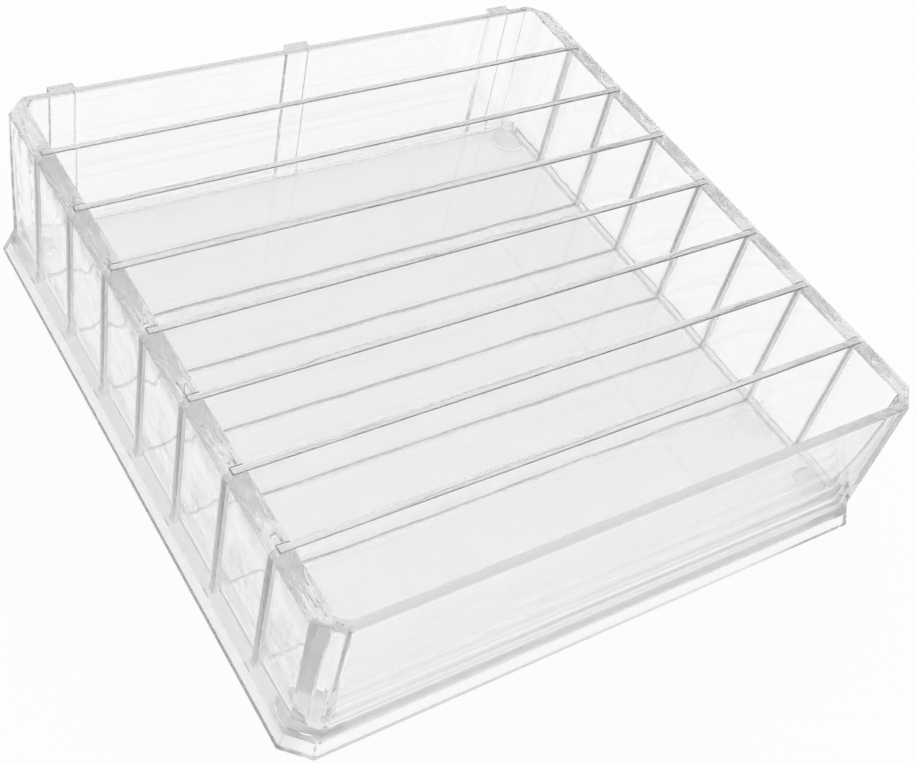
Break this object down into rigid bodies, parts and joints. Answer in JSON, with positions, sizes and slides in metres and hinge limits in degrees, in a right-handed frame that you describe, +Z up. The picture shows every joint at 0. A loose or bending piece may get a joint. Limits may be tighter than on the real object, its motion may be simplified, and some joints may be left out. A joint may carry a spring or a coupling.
{
  "type": "makeup organizer",
  "caption": "Low clear moulded tray with cut-off corners, a flared plinth and slotted side walls, parted by lift-out plates into upright bays for palettes and compacts.",
  "frame": {"origin": "on the table, under the middle of the tray's footprint", "axes": "+X along the dividers to the right, +Y from the open front wall to the ribbed back wall, +Z up"},
  "size_m": [0.2384, 0.2456, 0.0655],
  "materials": {
    "clear_plastic": "polished, colourless and transparent",
    "clear_silicone": "satin, colourless and translucent"
  },
  "bodies": {
    "tray": {"tray": "clear_plastic", "bumper_foot_front_left": "clear_silicone", "bumper_foot_back_left": "clear_silicone", "bumper_foot_front_right": "clear_silicone", "bumper_foot_back_right": "clear_silicone"},
    "divider_1": {"divider_1": "clear_plastic"},
    "divider_2": {"divider_2": "clear_plastic"},
    "divider_3": {"divider_3": "clear_plastic"},
    "divider_4": {"divider_4": "clear_plastic"},
    "divider_5": {"divider_5": "clear_plastic"},
    "divider_6": {"divider_6": "clear_plastic"},
    "divider_7": {"divider_7": "clear_plastic"}
  },
  "joints": [
    {"name": "divider_1_lift", "type": "slide", "parent": "tray", "child": "divider_1", "axis": [0, 0, 1], "range_m": [0, 0.065]},
    {"name": "divider_2_lift", "type": "slide", "parent": "tray", "child": "divider_2", "axis": [0, 0, 1], "range_m": [0, 0.065]},
    {"name": "divider_3_lift", "type": "slide", "parent": "tray", "child": "divider_3", "axis": [0, 0, 1], "range_m": [0, 0.065]},
    {"name": "divider_4_lift", "type": "slide", "parent": "tray", "child": "divider_4", "axis": [0, 0, 1], "range_m": [0, 0.065]},
    {"name": "divider_5_lift", "type": "slide", "parent": "tray", "child": "divider_5", "axis": [0, 0, 1], "range_m": [0, 0.065]},
    {"name": "divider_6_lift", "type": "slide", "parent": "tray", "child": "divider_6", "axis": [0, 0, 1], "range_m": [0, 0.065]},
    {"name": "divider_7_lift", "type": "slide", "parent": "tray", "child": "divider_7", "axis": [0, 0, 1], "range_m": [0, 0.065]}
  ]
}
